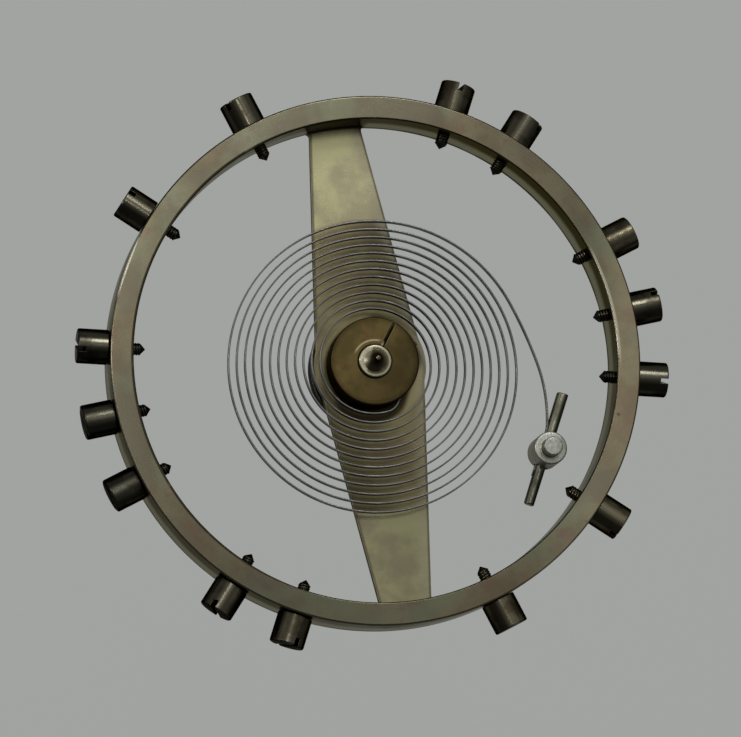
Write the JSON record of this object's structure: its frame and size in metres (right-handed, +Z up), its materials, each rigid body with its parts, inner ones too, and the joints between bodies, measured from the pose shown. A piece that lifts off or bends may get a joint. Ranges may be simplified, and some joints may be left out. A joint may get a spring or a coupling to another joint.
{
  "type": "balance wheel",
  "caption": "Pocket watch balance: screwed brass rim and crossbar on a staff with rollers and impulse jewel, and a flat spiral hairspring from collet to stud.",
  "frame": {"origin": "tip of the lower pivot, on the staff's axis", "axes": "+Z up the staff to the hairspring side, +Y along the crossbar"},
  "size_m": [0.0178, 0.0172, 0.0058],
  "materials": {
    "rim_brass": "satin, aged to a greenish grey-brown, brighter on the crossbar and edges",
    "screw_dark": "dark olive-brown to black, polished, with bright streaks along the head",
    "staff_steel": "polished",
    "roller_steel": "polished, dark",
    "ruby": "clear dark red, polished",
    "collet_brass": "turned, with brown patina",
    "spring_steel": "dark grey, smooth, with fine glints",
    "stud_steel": "grey, lightly brushed",
    "stud_pin_brass": "dark grey-brown, drawn"
  },
  "bodies": {
    "hairspring_stud": {"stud": "stud_steel", "stud_pin": "stud_pin_brass", "hairspring": "spring_steel"},
    "balance": {"balance_rim": "rim_brass", "rim_screw_01": "screw_dark", "rim_screw_02": "screw_dark", "rim_screw_03": "screw_dark", "rim_screw_04": "screw_dark", "rim_screw_05": "screw_dark", "rim_screw_06": "screw_dark", "rim_screw_07": "screw_dark", "rim_screw_08": "screw_dark", "rim_screw_09": "screw_dark", "rim_screw_10": "screw_dark", "rim_screw_11": "screw_dark", "rim_screw_12": "screw_dark", "rim_screw_13": "screw_dark", "rim_screw_14": "screw_dark", "balance_staff": "staff_steel", "roller_table": "roller_steel", "safety_roller": "roller_steel", "impulse_jewel": "ruby", "collet": "collet_brass", "collet_pin": "collet_brass"}
  },
  "joints": [
    {"name": "balance_swing", "type": "hinge", "parent": "hairspring_stud", "child": "balance", "pos_m": [0, 0, 0.00438], "axis": [0, 0, 1], "range_deg": [-270, 270], "stiffness_Nm_per_rad": 0.00000843, "deforming": ["hairspring"]}
  ]
}
